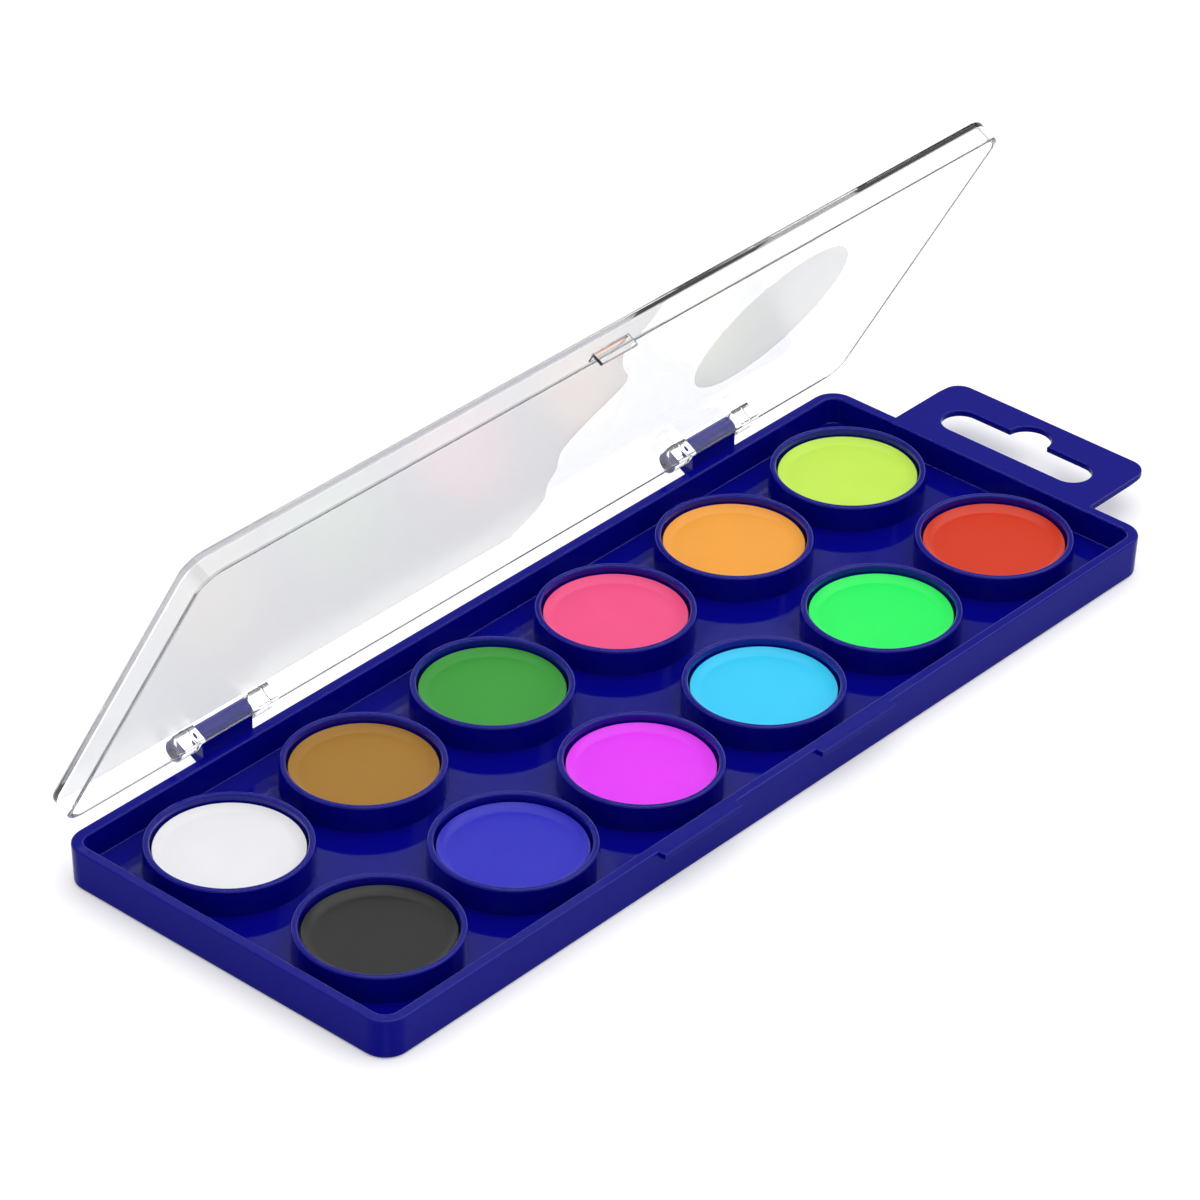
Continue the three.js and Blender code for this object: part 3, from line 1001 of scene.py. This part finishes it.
class PAINTBOX_OT_lid(Operator):
    """Model the clear lid with its latch, ears and stub pins, and open it"""

    bl_idname = "paintbox.lid"
    bl_label = "Make the lid"

    def execute(self, context):
        looks, tray = values_of(context, "lid"), values_of(context, "tray")
        half_x, half_y = tray_half_size(context)
        end = half_x + looks.overhang
        mouth = tray.rim + looks.seat_gap
        top = mouth + looks.depth
        under = top - looks.panel
        front, rear = -half_y + looks.front_inset, half_y - looks.rear_inset
        lid = add_block("clear_lid", (-end, front, mouth), (end, rear, top))
        round_edges(lid, tray.corner, CORNER_STEPS, upright)
        sink_pocket(lid, mouth, False, looks.wall, looks.depth - looks.panel)
        round_edges(lid, looks.edge_round, PANEL_STEPS, level_at(top))
        round_edges(lid, looks.inner_round, EDGE_STEPS, level_at(under))
        round_edges(lid, looks.mouth_round, SMALL_STEPS, level_at(mouth))
        fuse(lid, *self.ears(context, rear), self.latch(context, front, mouth))
        middle = Vector((0, (rear + front) / 2, under))
        for material in (clear_plastic(looks), clear_plastic(looks, middle), rubbed_plastic(looks)):
            lid.data.materials.append(material)
        give_finish(lid, 1, lambda place, normal: abs(place.z - under) < HAIR and normal.z < -LEVEL)
        # The mouth of the lid gets the grey of the painted dark edge reflection
        give_finish(lid, 2, lambda place, normal: (
            abs(place.z - mouth) < looks.mouth_round and front - HAIR < place.y < rear + HAIR
        ))
        self.open(lid)
        finish_piece(lid, [], LID_BODY, "lid")
        return {"FINISHED"}

    def latch(self, context, front, mouth):
        """A flap in front of the rim, on a ledge that stands out from the skirt."""
        looks = values_of(context, "lid")
        half_y = tray_half_size(context)[1]
        x0 = -looks.latch_offset - looks.latch_width / 2
        x1 = -looks.latch_offset + looks.latch_width / 2
        inner = -half_y - looks.latch_gap
        outer = inner - looks.latch_flap
        top = mouth + looks.latch_ledge
        edge = looks.latch_round
        flap = add_block("latch", (x0, outer, mouth - looks.latch_drop), (x1, inner, top))
        round_edges(flap, edge, SMALL_STEPS, lambda a, b: True)
        fuse(flap, add_block(
            "ledge", (x0 + edge, (outer + inner) / 2, mouth + edge * 1.5),
            (x1 - edge, front + looks.wall / 2, top - edge / 2),
        ))
        return flap

    def ears(self, context, rear):
        """Half-round ears behind the skirt, each with a stub pin towards its barrel."""
        looks, sizes = values_of(context, "lid"), values_of(context, "hinge")
        inside = rear - looks.wall / 2
        turned_end = HINGE.y + sizes.ear_radius
        foot = HINGE.z - sizes.ear_radius
        round_end = lambda a, b: along_hinge(a, b) and a.y > turned_end - HAIR
        outline = lambda a, b: not along_hinge(a, b) and max(a.y, b.y) > inside + HAIR
        made = []
        for middle in hinge_places(context):
            for side in (-1, 1):
                near = middle + side * (sizes.barrel_length / 2 + sizes.ear_gap)
                far = near + side * sizes.ear_width
                x0, x1 = min(near, far), max(near, far)
                ear = add_hinge_block("ear", x0, x1, inside, foot, sizes.ear_radius)
                round_edges(ear, sizes.ear_radius - HAIR, BARREL_STEPS, round_end)
                round_edges(ear, sizes.ear_round, SMALL_STEPS, outline)
                tip = near - side * (sizes.ear_gap + sizes.pin_engagement)
                root = near + side * sizes.ear_width / 2
                x0, x1 = min(tip, root), max(tip, root)
                fuse(ear, add_rod("pin", sizes.pin_radius, x0, x1, PIN_SIDES))
                made.append(ear)
        return made

    def open(self, lid):
        """Turn the closed lid about the hinge axis to its open place."""
        turn = Matrix.Rotation(-OPEN_ANGLE, 4, "X")
        lid.matrix_world = Matrix.Translation(HINGE) @ turn @ Matrix.Translation(-HINGE)
        take(lid)
        bpy.ops.object.transform_apply(location=True, rotation=True, scale=True)


class PAINTBOX_OT_studio(Operator):
    """Set up the floor, the sky, the key lamp and the camera"""

    bl_idname = "paintbox.studio"
    bl_label = "Set up the studio"

    def execute(self, context):
        looks = values_of(context, "studio")
        context.scene.view_settings.view_transform = "Standard"
        sky(context, looks)
        bpy.ops.object.select_all(action="DESELECT")
        bpy.ops.mesh.primitive_plane_add(size=looks.floor_side, location=(0, 0, -FLOOR_DROP))
        floor = settle("floor")
        floor.data.materials.append(pale_floor(looks))
        self.key_lamp(looks)
        self.camera(context, looks)
        return {"FINISHED"}

    def key_lamp(self, looks):
        """One large soft lamp that looks at the origin."""
        place = Vector(looks.key_place)
        bpy.ops.object.light_add(type="AREA", location=place)
        lamp = bpy.context.active_object
        lamp.name = "key"
        lamp.data.size = looks.key_size
        lamp.data.energy = looks.key
        lamp.rotation_euler = (-place).to_track_quat("-Z", "Y").to_euler()

    def camera(self, context, looks):
        """The camera, at the angle and distance of the reference view."""
        bpy.ops.object.camera_add()
        camera = context.active_object
        camera.name = "view"
        forward = Vector((
            math.cos(looks.elevation) * math.cos(looks.azimuth),
            math.cos(looks.elevation) * math.sin(looks.azimuth),
            -math.sin(looks.elevation),
        ))
        level = Vector((math.sin(looks.azimuth), -math.cos(looks.azimuth), 0))
        right = level * math.cos(looks.roll) + level.cross(forward) * math.sin(looks.roll)
        up = right.cross(forward)
        turn = Matrix((right, up, -forward)).transposed().to_4x4()
        place = Vector(looks.target) - forward * looks.distance
        camera.matrix_world = Matrix.Translation(place) @ turn
        camera.data.lens = looks.lens
        camera.data.sensor_width = SENSOR_WIDTH
        context.scene.camera = camera


class PAINTBOX_PT_sidebar(Panel):
    """Lists the steps that build the paint box, and its values"""

    bl_label = "Paint Box"
    bl_idname = "PAINTBOX_PT_sidebar"
    bl_space_type = "VIEW_3D"
    bl_region_type = "UI"
    bl_category = "Paint Box"

    def draw(self, context):
        for operator in OPERATORS:
            self.layout.operator(operator.bl_idname)
        for name in GROUPS:
            column = self.layout.column()
            column.label(text=name.capitalize())
            group = values_of(context, name)
            for key in GROUPS[name].__annotations__:
                column.prop(group, key)


GROUPS = {
    "tray": TraySizes,
    "well": WellSizes,
    "tab": TabSizes,
    "hinge": HingeSizes,
    "cake": CakeLooks,
    "lid": LidLooks,
    "studio": StudioLooks,
}
OPERATORS = (PAINTBOX_OT_studio, PAINTBOX_OT_tray, PAINTBOX_OT_cakes, PAINTBOX_OT_lid)
CLASSES = (*GROUPS.values(), *OPERATORS, PAINTBOX_PT_sidebar)


def register():
    """Add the classes to Blender, and their values to the scene."""
    for kind in CLASSES:
        bpy.utils.register_class(kind)
    for name, group in GROUPS.items():
        setattr(bpy.types.Scene, GROUP_PREFIX + name, PointerProperty(type=group))


def unregister():
    """Take out all that register added."""
    for name in GROUPS:
        delattr(bpy.types.Scene, GROUP_PREFIX + name)
    for kind in reversed(CLASSES):
        bpy.utils.unregister_class(kind)


def main():
    """Build the paint box in its studio."""
    register()
    bpy.ops.paintbox.studio()
    bpy.ops.paintbox.tray()
    bpy.ops.paintbox.cakes()
    bpy.ops.paintbox.lid()


if __name__ == "__main__":
    main()
